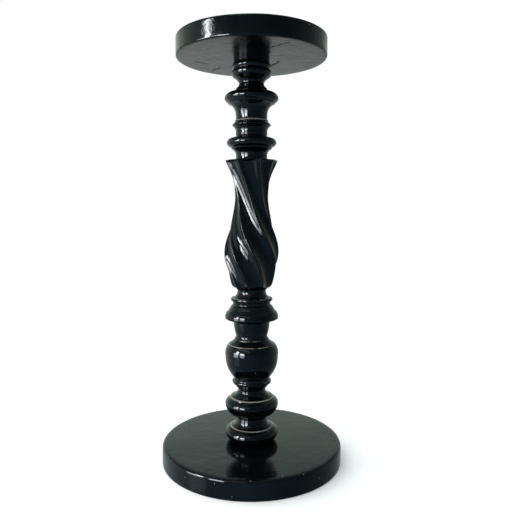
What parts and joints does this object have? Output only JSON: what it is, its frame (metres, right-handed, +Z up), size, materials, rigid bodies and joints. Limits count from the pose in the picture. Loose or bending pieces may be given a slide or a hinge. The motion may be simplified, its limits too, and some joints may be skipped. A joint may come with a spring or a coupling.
{
  "type": "candlestick",
  "caption": "tall turned wooden pillar candlestick with a carved left-hand spiral column between a round candle plate and a wider round base, in black lacquer",
  "frame": {"origin": "on the floor at the centre of the underside of the base plate", "axes": "+Z is up along the column, +Y is the back and +X is the right of the front view"},
  "size_m": [0.1906, 0.1906, 0.44],
  "materials": {
    "lacquer_plate": "gloss black lacquer",
    "lacquer_column": "gloss black lacquer",
    "dowel_wood": "plain",
    "steel": "zinc plated"
  },
  "bodies": {
    "root": {"top_plate": "lacquer_plate", "base_plate": "lacquer_plate", "upper_spindle": "lacquer_column", "twist_spindle": "lacquer_column", "lower_spindle": "lacquer_column", "top_dowel": "dowel_wood", "upper_dowel": "dowel_wood", "lower_dowel": "dowel_wood", "base_screw": "steel", "base_washer": "steel"}
  },
  "joints": []
}
